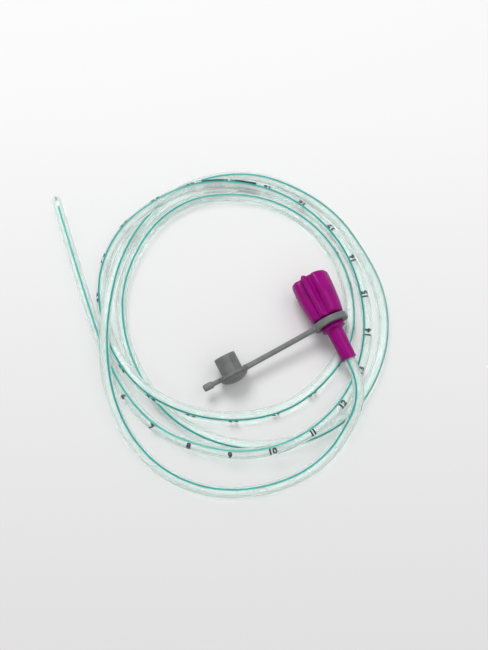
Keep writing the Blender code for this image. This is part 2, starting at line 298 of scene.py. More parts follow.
@dataclass(frozen=True)
class ClearPlastic:
    """A clear tinted plastic that bends light and lets the lamps through."""

    name: str
    tint_low: tuple[float, float, float, float]
    tint_high: tuple[float, float, float, float]
    roughness: float = 0.16
    bending: float = 1.12
    clearness: float = 0.74
    blotch: float = 6.0 * MM
    grain: float = 0.5 * MM
    shade: tuple[float, float, float, float] = (0.90, 0.93, 0.92, 1.0)

    def build(self) -> bpy.types.Material:
        """Make the material.

        Returns:
            The material.
        """
        laid = NodeTree(self.name)
        shader = laid.shader
        blotches = laid.noise(self.blotch, 2.0)
        laid.link(laid.ramp(blotches, [(0.3, self.tint_low), (0.7, self.tint_high)]),
                  shader.inputs["Base Color"])
        shader.inputs["Transmission Weight"].default_value = self.clearness
        shader.inputs["IOR"].default_value = self.bending
        fine = laid.noise(self.grain, 2.0)
        laid.link(laid.spread(fine, self.roughness * 0.8, self.roughness * 1.2),
                  shader.inputs["Roughness"])
        clear = laid.node("ShaderNodeBsdfTransparent")
        clear.inputs["Color"].default_value = self.shade
        path = laid.node("ShaderNodeLightPath")
        mix = laid.node("ShaderNodeMixShader")
        laid.link(path.outputs["Is Shadow Ray"], mix.inputs["Fac"])
        laid.link(shader.outputs["BSDF"], mix.inputs[1])
        laid.link(clear.outputs["BSDF"], mix.inputs[2])
        laid.link(mix.outputs["Shader"], laid.output.inputs["Surface"])
        return laid.material


@dataclass(frozen=True)
class PaperFloor:
    """A pale studio surface with painted shade: its colour darkens from the back towards the front, as the
    light falls off.
    """

    name: str
    near: tuple[float, float, float, float]
    far: tuple[float, float, float, float]
    near_y: float = -0.07
    far_y: float = 0.06

    def build(self) -> bpy.types.Material:
        """Make the material.

        Returns:
            The material.
        """
        laid = NodeTree(self.name)
        split = laid.node("ShaderNodeSeparateXYZ")
        laid.link(laid.place(), split.inputs["Vector"])
        # Painted shade: a ramp along Y darkens the floor's colour towards the front.
        along = laid.spread(split.outputs["Y"], 0.0, 1.0, self.near_y, self.far_y)
        laid.link(laid.ramp(along, [(0.0, self.near), (1.0, self.far)]),
                  laid.shader.inputs["Base Color"])
        laid.shader.inputs["Roughness"].default_value = 0.9
        laid.shader.inputs["Specular IOR Level"].default_value = 0.1
        return laid.material


def linked(name: str, data: bpy.types.ID) -> bpy.types.Object:
    """Put an object with this data into the scene.

    Args:
        name: The object's name.
        data: What it shows: a mesh, a text, a lamp or a camera.

    Returns:
        The object.
    """
    made = bpy.data.objects.new(name, data)
    bpy.context.scene.collection.objects.link(made)
    return made


def new_piece(name: str, mesh: bpy.types.Mesh, material: bpy.types.Material, body: Body) -> bpy.types.Object:
    """Link a piece, dress it and let it ride.

    Args:
        name: The piece's name.
        mesh: Its mesh, in the row frame.
        material: Its finish.
        body: The body that it rides on.

    Returns:
        The piece's object.
    """
    made = linked(name, mesh)
    mesh.materials.clear()
    mesh.materials.append(material)
    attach(made, body.value)
    LOG.info("%s: %d faces on %s", name, len(mesh.polygons), body.value)
    return made


def mesh_of(name: str, points: np.ndarray, faces: list[tuple[int, ...]],
            soft: bool = True) -> bpy.types.Mesh:
    """Make a mesh from points and faces.

    Args:
        name: The mesh's name.
        points: Points, one row each.
        faces: Point numbers of each face.
        soft: Whether it is shaded smooth.

    Returns:
        The mesh.
    """
    mesh = bpy.data.meshes.new(name)
    mesh.from_pydata([tuple(float(v) for v in row) for row in points], [], faces)
    mesh.validate()
    if soft:
        mesh.polygons.foreach_set("use_smooth", [True] * len(mesh.polygons))
    mesh.update()
    return mesh


def outward(mesh: bpy.types.Mesh) -> bpy.types.Mesh:
    """Turn a closed mesh's faces outward.

    Args:
        mesh: The mesh, which is changed.

    Returns:
        The same mesh.
    """
    work = bmesh.new()
    work.from_mesh(mesh)
    bmesh.ops.recalc_face_normals(work, faces=work.faces)
    work.to_mesh(mesh)
    work.free()
    return mesh


def solid_mesh(name: str, points: np.ndarray, faces: list[tuple[int, ...]],
               crease_deg: float = 40.0) -> bpy.types.Mesh:
    """Make a closed mesh with its faces outward and its sharp edges marked.

    Args:
        name: The mesh's name.
        points: Points, one row each.
        faces: Point numbers of each face.
        crease_deg: The angle from which an edge stays sharp.

    Returns:
        The mesh.
    """
    mesh = outward(mesh_of(name, points, faces))
    mesh.set_sharp_from_angle(angle=math.radians(crease_deg))
    return mesh


def evaluated(holder: bpy.types.Object) -> bpy.types.Mesh:
    """Give an object's mesh as its modifiers leave it.

    Args:
        holder: The object.

    Returns:
        The mesh.
    """
    bpy.context.view_layer.update()
    graph = bpy.context.evaluated_depsgraph_get()
    return bpy.data.meshes.new_from_object(holder.evaluated_get(graph))


def joined(name: str, meshes: list[bpy.types.Mesh], how: Joining, crease_deg: float) -> bpy.types.Mesh:
    """Weld solids into one, or cut them out of the first.

    Args:
        name: The mesh's name.
        meshes: The solids; the first takes the others.
        how: Whether they are welded on or cut out.
        crease_deg: The angle from which an edge stays sharp.

    Returns:
        The finished mesh.
    """
    holders = [linked(mesh.name, mesh) for mesh in meshes]
    for other in holders[1:]:
        step = holders[0].modifiers.new("join", "BOOLEAN")
        step.operation = how.value
        step.solver = "EXACT"
        step.object = other
    done = evaluated(holders[0])
    done.name = name
    for holder in holders:
        bpy.data.objects.remove(holder, do_unlink=True)
    done.polygons.foreach_set("use_smooth", [True] * len(done.polygons))
    done.set_sharp_from_angle(angle=math.radians(crease_deg))
    return done


def ring_faces(rows: int, around: int, ends: Ends = Ends.OPEN) -> list[tuple[int, ...]]:
    """Number the faces between rings of points.

    Args:
        rows: How many rings there are.
        around: How many points a ring has.
        ends: What closes the first and the last ring.

    Returns:
        The faces.
    """
    faces = []
    for row in range(rows if ends is Ends.LOOPED else rows - 1):
        low, high = row * around, (row + 1) % rows * around
        for step in range(around):
            after = (step + 1) % around
            faces.append((low + step, low + after, high + after, high + step))
    if ends is Ends.CAPPED:
        last = (rows - 1) * around
        faces += [tuple(range(around)), tuple(range(last, last + around))]
    return faces


def facing(at: Vector, heading: float, lift: float = 0.0) -> Matrix:
    """Give a frame with Z along a heading and X up.

    Args:
        at: Where the frame stands.
        heading: The angle of Z in plan, in radians.
        lift: The angle of Z above the floor.

    Returns:
        The frame.
    """
    level = math.cos(lift)
    along = Vector((math.cos(heading) * level, math.sin(heading) * level, math.sin(lift)))
    up = along.cross(UP).normalized().cross(along)
    frame = Matrix((up, along.cross(up), along)).transposed().to_4x4()
    frame.translation = at
    return frame


def placed(rows: list[tuple[float, float, float]], frame: Matrix) -> np.ndarray:
    """Move points out of a frame into the row frame."""
    return np.array([tuple(frame @ Vector(row)) for row in rows])


class Gathered:
    """The points and faces of one mesh, gathered part by part."""

    def __init__(self) -> None:
        """Start with nothing."""
        self.points: list[np.ndarray] = []
        self.faces: list[tuple[int, ...]] = []
        self.count = 0

    def add(self, points: np.ndarray, faces: list[tuple[int, ...]]) -> None:
        """Add a part.

        Args:
            points: Its points.
            faces: Its faces, numbered from its own first point.
        """
        self.points.append(points)
        self.faces += [tuple(self.count + index for index in face) for face in faces]
        self.count += len(points)

    def rows(self) -> np.ndarray:
        """Give all the points, one row each."""
        return np.vstack(self.points)


class Route:
    """The tube's centreline with a frame at each point: where it runs, what is up and what is inward."""

    def __init__(self, start: Vector, exit_point: Vector, step: float = 0.75 * MM) -> None:
        """Lay the centreline.

        Args:
            start: Where the tube starts, inside the stem.
            exit_point: Where it leaves the stem.
            step: The distance between its points.
        """
        knots = np.vstack([tuple(exit_point), np.array(ROUTE_MM) * MM])
        smooth = self._smoothed(self._evenly(self._through(knots), step))
        lead = np.linspace(np.array(start), smooth[0], LEAD_POINTS + 1)[:-1]
        self.points = np.vstack([lead, smooth])
        self.reach = self._reach(self.points)
        self.length = float(self.reach[-1])
        run = np.gradient(self.points, axis=0)
        self.run = run / np.linalg.norm(run, axis=1)[:, None]
        up = np.array(UP) - self.run * self.run[:, 2:3]
        self.up = up / np.linalg.norm(up, axis=1)[:, None]
        self.inward = np.cross(self.run, self.up)
        self.line_angle = self._line()

    @staticmethod
    def _through(knots: np.ndarray, per_span: int = 16) -> np.ndarray:
        """Run one smooth curve through the knots.

        Args:
            knots: The points that it passes.
            per_span: How many points each span gets.

        Returns:
            The curve's points.
        """
        padded = np.vstack([2 * knots[0] - knots[1], knots, 2 * knots[-1] - knots[-2]])
        t = (np.arange(per_span) / per_span)[:, None]
        spans = []
        for a, b, c, d in zip(padded, padded[1:], padded[2:], padded[3:]):
            spans.append(0.5 * (2 * b + (c - a) * t + (2 * a - 5 * b + 4 * c - d) * t ** 2
                                + (3 * b - a - 3 * c + d) * t ** 3))
        return np.vstack(spans + [knots[-1:]])

    @staticmethod
    def _reach(points: np.ndarray) -> np.ndarray:
        """Give each point's length along the curve."""
        return np.concatenate([[0.0], np.cumsum(np.linalg.norm(np.diff(points, axis=0), axis=1))])

    @staticmethod
    def _evenly(points: np.ndarray, step: float) -> np.ndarray:
        """Space points evenly.

        Args:
            points: The curve's points.
            step: The distance between the new ones.

        Returns:
            The new points.
        """
        reach = Route._reach(points)
        wanted = np.linspace(0.0, reach[-1], int(round(reach[-1] / step)) + 1)
        return np.stack([np.interp(wanted, reach, points[:, k]) for k in range(3)], axis=1)

    @staticmethod
    def _smoothed(points: np.ndarray, rounds: int = 14) -> np.ndarray:
        """Ease the curve without moving its ends.

        Args:
            points: The curve's points.
            rounds: How often it is eased.

        Returns:
            The eased points.
        """
        eased = points.copy()
        eased[:, 2] = np.maximum(eased[:, 2], LOWEST_MIDDLE)
        for _ in range(rounds):
            eased[1:-1] = 0.25 * eased[:-2] + 0.5 * eased[1:-1] + 0.25 * eased[2:]
        return eased

    def _line(self) -> np.ndarray:
        """Give the teal line's angle at each point, in radians from the top towards the inside.

        Returns:
            The angles.
        """
        known_turns, known_degrees = zip(*LINE_AT)
        arm = self.points[:, :2] - np.array(COIL_MIDDLE)
        turned = np.unwrap(np.arctan2(arm[:, 1], arm[:, 0]))
        turns = (-math.pi / 2 - turned) / (2 * math.pi)
        turns = turns - round(float(turns[0]) - known_turns[0])
        angles = np.radians(np.interp(turns, known_turns, known_degrees))
        kernel = np.hanning(2 * LINE_EASE + 1)
        kernel /= kernel.sum()
        return np.convolve(np.pad(angles, LINE_EASE, mode="edge"), kernel, mode="valid")

    def at(self, where: np.ndarray) -> tuple[np.ndarray, ...]:
        """Give the frame at lengths along the tube.

        Args:
            where: Lengths from the tube's start, in metres.

        Returns:
            Middle, direction, up, inward and the teal line's angle.
        """
        def mixed(rows: np.ndarray) -> np.ndarray:
            """Interpolate rows."""
            return np.stack([np.interp(where, self.reach, rows[:, k]) for k in range(3)], axis=1)

        run, up, inward = mixed(self.run), mixed(self.up), mixed(self.inward)
        unit = [v / np.linalg.norm(v, axis=1)[:, None] for v in (run, up, inward)]
        return mixed(self.points), *unit, np.interp(where, self.reach, self.line_angle)

    def on_skin(self, where: np.ndarray, angle: np.ndarray, radius: np.ndarray) -> np.ndarray:
        """Give points on the tube's skin.

        Args:
            where: Lengths from the tube's start.
            angle: Angles from the top towards the inside, in radians.
            radius: Distances from the middle.

        Returns:
            The points.
        """
        middle, _, up, inward, _ = self.at(where)
        return middle + radius[:, None] * (np.cos(angle)[:, None] * up + np.sin(angle)[:, None] * inward)


@dataclass(frozen=True)
class Eye:
    """An oval side eye: its middle from the tip, its angle from the top inward, and half its sides."""

    from_tip: float
    degrees: float
    half_long: float
    half_wide: float


@dataclass
class ClearTube:
    """The clear tube: hollow, rounded at its tip, with a teal line, printed centimetres and eyes."""

    route: Route
    radius: float = 1.3 * MM
    bore: float = 0.86 * MM
    around: int = 32
    ring_step: float = 0.85 * MM
    tip_round: float = 1.9 * MM
    tip_wall: float = 1.0 * MM
    line_half: float = 0.23 * MM
    line_depth: float = 0.16 * MM
    proud: float = 0.012 * MM
    sunk: float = 0.02 * MM
    digit_height: float = 1.65 * MM
    digit_gap: float = 0.32 * MM
    digit_shift: float = 0.02 * MM
    digit_bold: float = 0.045
    digit_slices: int = 9
    first_number: int = 6
    last_number: int = 36
    first_from_tip: float = 57.4 * MM
    number_step: float = 10.0 * MM
    band_number: int = 20
    band_from: float = 1.35 * MM
    band_to: float = 7.1 * MM
    dome_rings: int = 9
    bore_dome: float = 0.6
    dome_fullness: float = 0.9
    line_before_eye: float = 0.12 * MM
    line_after_eye: float = 0.1 * MM
    line_from_tip: float = 0.75 * MM
    eyes: tuple[Eye, ...] = (Eye(2.7 * MM, 10.0, 0.95 * MM, 0.42 * MM),
                             Eye(8.6 * MM, 190.0, 1.25 * MM, 0.45 * MM))

    def _rings(self, inner: bool) -> tuple[np.ndarray, np.ndarray]:
        """Give where the rings of one skin stand and how wide they are.

        Args:
            inner: True for the bore, False for the outside.

        Returns:
            Lengths along the tube and radii.
        """
        end = self.route.length - (self.tip_wall if inner else 0.0)
        radius = self.bore if inner else self.radius
        dome = self.tip_round * (self.bore_dome if inner else 1.0)
        straight = np.linspace(0.0, end - dome, int((end - dome) / self.ring_step))
        turn = np.linspace(0.0, math.pi / 2, self.dome_rings + 2)[1:-1]
        return (np.concatenate([straight, end - dome + dome * np.sin(turn)]),
                np.concatenate([np.full(len(straight), radius),
                                radius * np.cos(turn) ** self.dome_fullness]))

    def _skin(self, inner: bool) -> tuple[np.ndarray, list[tuple[int, ...]]]:
        """Make one skin of the tube, closed at the tip.

        Args:
            inner: True for the bore, False for the outside.

        Returns:
            Points and faces.
        """
        where, radii = self._rings(inner)
        rows, around = len(where), self.around
        turn = 2 * math.pi * np.arange(around) / around
        rings = self.route.on_skin(np.repeat(where, around), np.tile(turn, rows), np.repeat(radii, around))
        end = self.route.length - (self.tip_wall if inner else 0.0)
        tip = rows * around
        last = tip - around
        faces = ring_faces(rows, around)
        faces += [(last + step, last + (step + 1) % around, tip) for step in range(around)]
        if inner:
            faces = [(face[0], *face[:0:-1]) for face in faces]
        return np.vstack([rings, self.route.at(np.array([end]))[0]]), faces

    def body(self) -> bpy.types.Mesh:
        """Make the hollow tube's mesh, with its eyes cut.

        Returns:
            The tube's mesh.
        """
        around = self.around
        parts = Gathered()
        parts.add(*self._skin(inner=False))
        bore = parts.count
        parts.add(*self._skin(inner=True))
        mouth = [(step, bore + step, bore + (step + 1) % around, (step + 1) % around)
                 for step in range(around)]
        blank = outward(mesh_of("tube_body", parts.rows(), parts.faces + mouth))
        return joined("clear_tube", [blank, *(self._eye_cutter(eye) for eye in self.eyes)], Joining.CUT, 40.0)

    def _eye_cutter(self, eye: Eye, around: int = 28) -> bpy.types.Mesh:
        """Make the oval plug that cuts one eye through the wall.

        Args:
            eye: The eye.
            around: Points in its outline.

        Returns:
            The plug.
        """
        place = np.array([self.route.length - eye.from_tip])
        middle, run, up, inward, _ = (v[0] for v in self.route.at(place))
        angle = math.radians(eye.degrees)
        out = math.cos(angle) * up + math.sin(angle) * inward
        side = np.cross(out, run)
        rows = []
        for depth, grow in ((0.35 * MM, 0.86), (1.15 * MM, 1.0), (1.6 * MM, 1.3)):
            for step in range(around):
                turn = 2 * math.pi * step / around
                rows.append(middle + out * depth + run * eye.half_long * grow * math.cos(turn)
                            + side * eye.half_wide * grow * math.sin(turn))
        return outward(mesh_of("eye_cutter", np.array(rows), ring_faces(3, around, Ends.CAPPED)))

    def _strip(self, where: np.ndarray, middle: np.ndarray, across: np.ndarray, depth: float,
               shrink: np.ndarray) -> tuple[np.ndarray, list[tuple[int, ...]]]:
        """Make a thin strip that stands a hair proud of the tube's skin.

        Args:
            where: Lengths along the tube.
            middle: The angle of the strip's middle at each.
            across: Angles across the strip, from its middle.
            depth: How far it is let into the wall.
            shrink: The tube's own share of its full radius at each length.

        Returns:
            Points and faces.
        """
        rows, wide = len(where), 2 * len(across)
        grid = np.zeros((rows, wide, 3))
        for column, turn in enumerate(across):
            for spot, lift in ((column, self.proud), (wide - 1 - column, -depth)):
                grid[:, spot] = self.route.on_skin(where, middle + turn, (self.radius + lift) * shrink)
        return grid.reshape(-1, 3), ring_faces(rows, wide, Ends.CAPPED)

    def line(self) -> bpy.types.Mesh:
        """Make the teal line, let into the tube's wall and broken at the first eye.

        Returns:
            The line's mesh.
        """
        eye = self.eyes[0]
        length = self.route.length
        across = np.linspace(-1.0, 1.0, 7) * (self.line_half / self.radius)
        parts = Gathered()
        for low, high in ((0.0, length - eye.from_tip - eye.half_long - self.line_before_eye),
                          (length - eye.from_tip + eye.half_long + self.line_after_eye,
                           length - self.line_from_tip)):
            where = np.linspace(low, high, max(3, int((high - low) / self.ring_step)))
            dome = np.clip((length - where) / self.tip_round, 0.0, 1.0)
            shrink = np.sqrt(np.maximum(1.0 - (1.0 - dome) ** 2, 0.0))
            parts.add(*self._strip(where, self.route.at(where)[4], across, self.line_depth, shrink))
        return solid_mesh("teal_line", parts.rows(), parts.faces)

    def print_middle(self, where: np.ndarray) -> np.ndarray:
        """Give the angle of the print's middle, beside the teal line.

        Args:
            where: Lengths along the tube.

        Returns:
            The angles, in radians.
        """
        aside = self.line_half + self.digit_shift + self.digit_height / 2
        return self.route.at(where)[4] - aside / self.radius

    def number_place(self, number: int) -> float:
        """Give a printed number's length from the tube's start."""
        return self.route.length - self.first_from_tip - (number - self.first_number) * self.number_step

    def _glyph(self, figure: str) -> tuple[np.ndarray, list[tuple[int, ...]]]:
        """Make one figure flat, sliced finely enough to wrap round the tube.

        Args:
            figure: The figure, 0 to 9.

        Returns:
            Points (across, up, out) and faces, its box starting at zero.
        """
        text = bpy.data.curves.new("figure", "FONT")
        text.body = figure
        text.size = 1.0
        text.extrude = 0.01
        text.resolution_u = 3
        text.offset = self.digit_bold
        holder = linked("figure", text)
        flat = evaluated(holder)
        work = bmesh.new()
        work.from_mesh(flat)
        bmesh.ops.remove_doubles(work, verts=work.verts, dist=1e-5)
        low = min(v.co.y for v in work.verts)
        high = max(v.co.y for v in work.verts)
        for slice_at in np.linspace(low, high, self.digit_slices)[1:-1]:
            bmesh.ops.bisect_plane(work, geom=work.verts[:] + work.edges[:] + work.faces[:],
                                   plane_co=(0.0, float(slice_at), 0.0), plane_no=(0.0, 1.0, 0.0))
        work.verts.index_update()
        points = np.array([tuple(v.co) for v in work.verts])
        faces = [tuple(v.index for v in face.verts) for face in work.faces]
        work.free()
        bpy.data.objects.remove(holder, do_unlink=True)
        bpy.data.curves.remove(text)
        bpy.data.meshes.remove(flat)
        scale = self.digit_height / (high - low)
        points[:, 0] = (points[:, 0] - points[:, 0].min()) * scale
        points[:, 1] = (points[:, 1] - low) * scale
        return points, faces

    def numbers(self) -> bpy.types.Mesh:
        """Print the centimetre numbers beside the teal line, wrapped on the tube.

        Returns:
            The print's mesh.
        """
        glyphs = {figure: self._glyph(figure) for figure in "0123456789"}
        parts = Gathered()
        for number in range(self.first_number, self.last_number + 1):
            widths = [float(glyphs[f][0][:, 0].max()) for f in str(number)]
            pen = -(sum(widths) + self.digit_gap * (len(widths) - 1)) / 2
            for figure, width in zip(str(number), widths):
                shape, faces = glyphs[figure]
                where = self.number_place(number) - (pen + shape[:, 0])
                angle = self.print_middle(where) + (shape[:, 1] - self.digit_height / 2) / self.radius
                lift = np.where(shape[:, 2] > 0, self.proud, -self.sunk)
                parts.add(self.route.on_skin(where, angle, self.radius + lift), faces)
                pen += width + self.digit_gap
        return mesh_of("printed_numbers", parts.rows(), parts.faces, soft=False)

    def bands(self) -> bpy.types.Mesh:
        """Print the two dark bars either side of their number, on the printed side.

        Returns:
            The bars' mesh.
        """
        place = self.number_place(self.band_number)
        across = np.linspace(-0.5, 0.5, 11) * (self.digit_height / self.radius)
        parts = Gathered()
        for side in (-1.0, 1.0):
            where = np.sort(place + side * np.linspace(self.band_from, self.band_to, 9))
            parts.add(*self._strip(where, self.print_middle(where), across, self.sunk, np.ones(len(where))))
        return solid_mesh("dark_bars", parts.rows(), parts.faces)

    def build(self, clear: bpy.types.Material, teal: bpy.types.Material,
              ink: bpy.types.Material) -> list[bpy.types.Object]:
        """Args:
            clear: The tube's finish.
            teal: The line's finish.
            ink: The print's finish.

        Returns:
            The pieces.
        """
        tube = new_piece("clear_tube", self.body(), clear, Body.SET)
        line = new_piece("teal_line", self.line(), teal, Body.SET)
        numbers = new_piece("printed_numbers", self.numbers(), ink, Body.SET)
        bands = new_piece("dark_bars", self.bands(), ink, Body.SET)
        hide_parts("tube")
        return [tube, line, numbers, bands]


def lofted(name: str, sections: list[tuple[Vector, float, float]], side: Vector, up: Vector,
           squareness: float, around: int = 36, crease_deg: float = 50.0) -> bpy.types.Mesh:
    """Make a bar through rounded sections.

    Args:
        name: The mesh's name.
        sections: Centre, half width and half height of each.
        side: The direction of the width.
        up: The direction of the height.
        squareness: 2 for round sections, more for squarer ones.
        around: Points in a section.
        crease_deg: The angle from which an edge stays sharp.

    Returns:
        The bar's mesh.
    """
    rows = []
    for centre, half_width, half_height in sections:
        for step in range(around):
            turn = 2 * math.pi * step / around
            c, s = math.cos(turn), math.sin(turn)
            reach = (abs(c) ** squareness + abs(s) ** squareness) ** (-1.0 / squareness)
            rows.append(tuple(centre + side * (half_width * c * reach) + up * (half_height * s * reach)))
    return solid_mesh(name, np.array(rows), ring_faces(len(sections), around, Ends.CAPPED), crease_deg)


def rounded(corners: list[tuple[float, float, float]], steps: int = 4) -> list[tuple[float, float]]:
    """Round the corners of an outline.

    Args:
        corners: Radius, height and rounding of each corner, in order.
        steps: How many pieces a rounding has.

    Returns:
        The outline's points.
    """
    outline: list[tuple[float, float]] = []
    for index, (radius, height, rounding) in enumerate(corners):
        here = Vector((radius, height))
        if rounding <= 0 or index in (0, len(corners) - 1):
            outline.append((radius, height))
            continue
        before = Vector(corners[index - 1][:2]) - here
        after = Vector(corners[index + 1][:2]) - here
        one = here + before.normalized() * min(rounding, before.length * 0.48)
        two = here + after.normalized() * min(rounding, after.length * 0.48)
        for step in range(steps + 1):
            t = step / steps
            outline.append(tuple(one * (1 - t) ** 2 + here * 2 * t * (1 - t) + two * t ** 2))
    return outline


@dataclass
class Connector:
    """The connector: a collar with broad and narrow lobes, a recessed spigot, a neck and the tube's stem."""

    mouth: Vector = field(default_factory=lambda: Vector((7.585 * MM, 13.179 * MM, 4.95 * MM)))
    heading: float = math.radians(-65.7)
    stem_end: float = 22.4 * MM
    socket_depth: float = 6.0 * MM
    around: int = 216
    collar_length: float = 11.1 * MM
    mouth_radius: float = 4.75 * MM
    belly_radius: float = 4.95 * MM
    belly_at: float = 4.2 * MM
    shoulder_radius: float = 4.35 * MM
    shoulder_at: float = 10.1 * MM
    end_radius: float = 3.55 * MM
    valley_depth: float = 1.15 * MM
    lobe_period: float = 120.0
    valley_from_broad: float = 43.0
    valley_half: float = 10.5
    broad_lobe_at: float = -32.0
    mouth_scallop: float = 0.45 * MM
    ridge_half: float = 15.0
    ridge_rise: float = 0.4 * MM
    ridge_reach: float = 0.3 * MM
    ridge_fades_at: float = 5.5 * MM
    scallop_fades_at: float = 2.5 * MM
    lobes_from_radius: float = 3.3 * MM
    lobes_full_over: float = 1.0 * MM
    lip_inner: float = 3.55 * MM
    lip_outer: float = 3.85 * MM
    rim_round: float = 0.6 * MM
    rim_end: float = 0.9 * MM
    collar_rings: int = 26
    closing_inset: float = 1.0 * MM
    spigot_funnel: float = 1.5 * MM
    bore_lip: float = 0.5 * MM
    neck_radius: float = 2.6 * MM
    flare_radius: float = 3.0 * MM
    flare_from: float = 13.5 * MM
    flare_to: float = 14.35 * MM
    stem_root: float = 2.0 * MM
    stem_tip: float = 1.88 * MM
    socket_radius: float = 1.45 * MM
    lumen_radius: float = 0.85 * MM
    spigot_root: float = 2.1 * MM
    spigot_tip: float = 1.95 * MM
    spigot_mouth: float = 1.3 * MM
    spigot_from: float = 1.3 * MM
    bore: float = 3.2 * MM
    bore_depth: float = 8.4 * MM
    thread_start: float = 1.0 * MM
    thread_turns: float = 1.15
    thread_pitch: float = 5.0 * MM
    thread_height: float = 0.42 * MM
    thread_half: float = 0.42 * MM
    thread_steps: int = 90

    def along(self, distance: float) -> Vector:
        """Give the point on the axis at a distance from the mouth."""
        return self.mouth + Vector((math.cos(self.heading), math.sin(self.heading), 0.0)) * distance

    def axis(self, distance: float = 0.0) -> Matrix:
        """Give the frame with Z from the mouth to the stem, at a distance from the mouth."""
        return facing(self.along(distance), self.heading)

    def collar_radius(self, height: float) -> float:
        """Give the collar's outer radius over its lobes at a distance from the mouth.

        Args:
            height: The distance from the mouth.

        Returns:
            The radius.
        """
        stations = (0.0, self.belly_at, self.shoulder_at, self.collar_length)
        radii = (self.mouth_radius, self.belly_radius, self.shoulder_radius, self.end_radius)
        index = next((i for i in range(3) if height <= stations[i + 1] + 1e-9), 2)
        t = (height - stations[index]) / (stations[index + 1] - stations[index])
        ease = math.sin(t * math.pi / 2) if index == 0 else 1 - math.cos(t * math.pi / 2)
        return radii[index] + (radii[index + 1] - radii[index]) * ease

    def lobed(self, radius: float, height: float, turn: float) -> tuple[float, float]:
        """Let the valleys into the collar and raise its narrow lobes.

        Args:
            radius: The radius over the lobes.
            height: The distance from the mouth.
            turn: The angle round the axis.

        Returns:
            The radius and the distance from the mouth.
        """
        half = self.lobe_period / 2
        within = abs((math.degrees(turn) - self.broad_lobe_at + half) % self.lobe_period - half)
        valley = math.exp(-((within - self.valley_from_broad) / self.valley_half) ** 2)
        ridge = math.exp(-((half - within) / self.ridge_half) ** 2)
        ridge *= max(0.0, 1.0 - height / self.ridge_fades_at)
        near = max(0.0, min(1.0, (radius - self.lobes_from_radius) / self.lobes_full_over))
        far = max(0.0, (height - self.belly_at) / (self.collar_length - self.belly_at))
        fade = (1.0 - 0.45 * far ** 1.5) * (0.72 + 0.28 * min(1.0, height / self.belly_at))
        lean = 1.0 - min(1.0, height / self.scallop_fades_at)
        return (radius - (self.valley_depth * fade * valley - self.ridge_rise * ridge) * near,
                height + (self.mouth_scallop * valley - self.ridge_reach * ridge) * lean * near)

    def _collar_outline(self) -> list[tuple[float, float]]:
        """Give the collar's outline over its lobes, from the mouth to its end.

        Returns:
            Radii and heights.
        """
        rim, quarter = self.rim_round, np.linspace(0.0, math.pi / 2, 9)
        outline = [(self.lip_inner, 0.0), (self.lip_outer, 0.0)]
        outline += [(self.mouth_radius - rim * (1 - math.sin(t)), rim * (1 - math.cos(t))) for t in quarter]
        heights = np.linspace(self.rim_end, self.shoulder_at, self.collar_rings)
        outline += [(self.collar_radius(float(h)), float(h)) for h in heights]
        closing = self.collar_length - self.shoulder_at
        outline += [(self.shoulder_radius - self.closing_inset * (1 - math.cos(t)),
                     self.shoulder_at + closing * math.sin(t)) for t in quarter[1:]]
        return outline

    def _rest_outline(self) -> list[tuple[float, float]]:
        """Give the outline from the collar's end over the neck and stem, and back through the inside.

        Returns:
            Radii and heights.
        """
        floor, socket_floor = self.bore_depth, self.stem_end - self.socket_depth
        return rounded([
            (self.flare_radius, self.collar_length, 0.0),
            (self.neck_radius, self.collar_length, 0.2 * MM),
            (self.neck_radius, self.flare_from, 0.1 * MM),
            (self.flare_radius, self.flare_from, 0.25 * MM),
            (self.flare_radius, self.flare_to, 0.35 * MM),
            (self.stem_root, self.flare_to + 0.05 * MM, 0.5 * MM),
            (self.stem_tip, self.stem_end, 0.4 * MM),
            (self.socket_radius, self.stem_end, 0.12 * MM),
            (self.socket_radius, socket_floor, 0.0),
            (self.lumen_radius, socket_floor, 0.0),
            (self.lumen_radius, floor + self.spigot_funnel, 0.0),
            (self.spigot_mouth, floor, 0.3 * MM),
            (self.spigot_mouth, self.spigot_from, 0.1 * MM),
            (self.spigot_tip, self.spigot_from, 0.18 * MM),
            (self.spigot_root, floor, 0.3 * MM),
            (self.bore, floor, 0.3 * MM),
            (self.bore, self.bore_lip, 0.1 * MM),
            (3.5 * MM, 0.06 * MM, 0.0),
        ])

    def shell(self) -> bpy.types.Mesh:
        """Make the whole moulding as one turned form with its lobes.

        Returns:
            The moulding's mesh.
        """
        collar = self._collar_outline()
        outline = collar + self._rest_outline()
        rows = []
        for index, (radius, height) in enumerate(outline):
            for step in range(self.around):
                turn = 2 * math.pi * step / self.around
                r, h = self.lobed(radius, height, turn) if index < len(collar) else (radius, height)
                rows.append((r * math.cos(turn), r * math.sin(turn), h))
        faces = ring_faces(len(outline), self.around, Ends.LOOPED)
        return solid_mesh("connector_moulding", placed(rows, self.axis()), faces, 42.0)

    def thread(self) -> bpy.types.Mesh:
        """Make the two-start thread inside the collar.

        Returns:
            The thread's mesh.
        """
        steps = self.thread_steps
        section = ((0.05, -1.0), (-0.7, -0.55), (-1.0, -0.2), (-1.0, 0.2), (-0.7, 0.55), (0.05, 1.0))
        parts = Gathered()
        for start in (0.0, math.pi):
            rows = []
            for step in range(steps + 1):
                share = step / steps
                turn = start + 2 * math.pi * self.thread_turns * share
                height = self.thread_start + self.thread_pitch * self.thread_turns * share
                fade = min(1.0, share / 0.06, (1.0 - share) / 0.06) * 0.9 + 0.1
                for rise, wide in section:
                    radius = self.bore + (rise * self.thread_height * fade if rise < 0 else rise * MM)
                    rows.append((radius * math.cos(turn), radius * math.sin(turn),
                                 height + wide * self.thread_half))
            parts.add(placed(rows, self.axis()), ring_faces(steps + 1, len(section), Ends.CAPPED))
        return solid_mesh("collar_thread", parts.rows(), parts.faces, 50.0)

